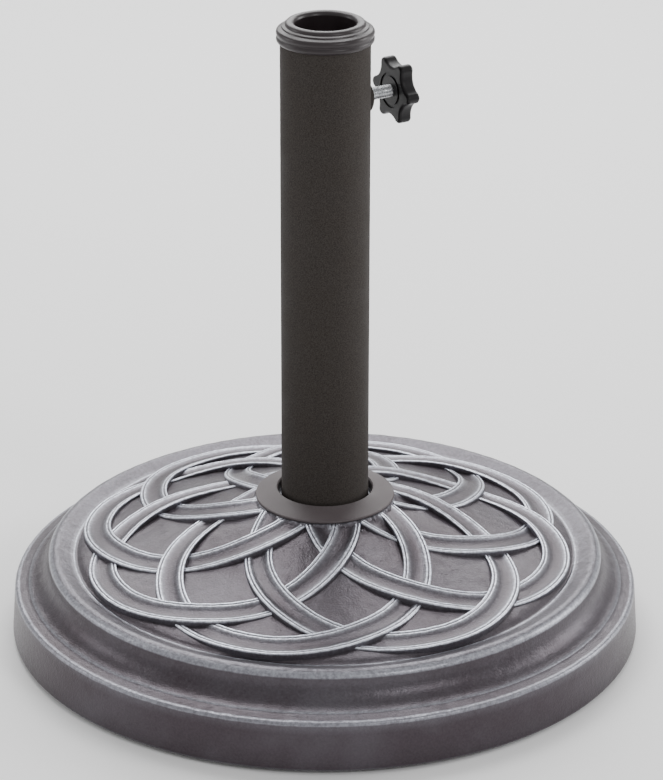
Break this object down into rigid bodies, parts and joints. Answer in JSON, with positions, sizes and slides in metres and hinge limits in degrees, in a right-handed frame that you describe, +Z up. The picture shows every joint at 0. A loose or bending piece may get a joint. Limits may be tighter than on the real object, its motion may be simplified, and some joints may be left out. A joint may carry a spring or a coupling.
{
  "type": "parasol base",
  "caption": "Round weighted parasol base with an interlaced-ring relief dome, an upright tube, a loose collar, a reducer cap and a side clamp screw with a star knob.",
  "frame": {"origin": "on the ground, under the centre of the round base", "axes": "+Z up along the tube; the clamp screw points outwards at 31.5 degrees from +X towards +Y"},
  "size_m": [0.402, 0.402, 0.404],
  "materials": {
    "cast_resin": "matte",
    "concrete": "matte",
    "zinc_steel": "satin",
    "powder_coat": "matte",
    "collar_plastic": "matte",
    "cap_plastic": "satin",
    "knob_plastic": "gloss",
    "nylon": "satin",
    "rubber": "matte"
  },
  "bodies": {
    "base": {"resin_shell": "cast_resin", "concrete_ballast": "concrete", "socket_sleeve": "zinc_steel", "socket_floor_plate": "zinc_steel", "flat_washer": "zinc_steel", "spring_washer": "zinc_steel", "anchor_bolt": "zinc_steel", "foot_weld_nut": "zinc_steel", "tube_foot_plate": "powder_coat", "pole_tube": "powder_coat", "clamp_nut": "powder_coat", "foot_1": "rubber", "foot_2": "rubber", "foot_3": "rubber", "foot_4": "rubber", "foot_5": "rubber", "foot_6": "rubber"},
    "collar": {"collar_ring": "collar_plastic"},
    "cap": {"reducer_cap": "cap_plastic"},
    "clamp_tip": {"screw_tip": "nylon"},
    "clamp_knob": {"knob_screw": "zinc_steel", "knob_head": "knob_plastic"}
  },
  "joints": [
    {"name": "collar_slide", "type": "slide", "parent": "base", "child": "collar", "axis": [0, 0, 1], "range_m": [0, 0.229]},
    {"name": "cap_lift", "type": "slide", "parent": "base", "child": "cap", "axis": [0, 0, 1], "range_m": [0, 0.05]},
    {"name": "clamp_advance", "type": "slide", "parent": "base", "child": "clamp_tip", "axis": [-0.8526, -0.5225, 0], "range_m": [-0.003, 0.012]},
    {"name": "clamp_turn", "type": "hinge", "parent": "clamp_tip", "child": "clamp_knob", "pos_m": [0, 0, 0.3521], "axis": [-0.8526, -0.5225, 0], "range_deg": [-860, 3450]}
  ],
  "couplings": [
    {"joint": "clamp_advance", "follows": "clamp_turn", "m_per_rad": 0.00019894}
  ]
}
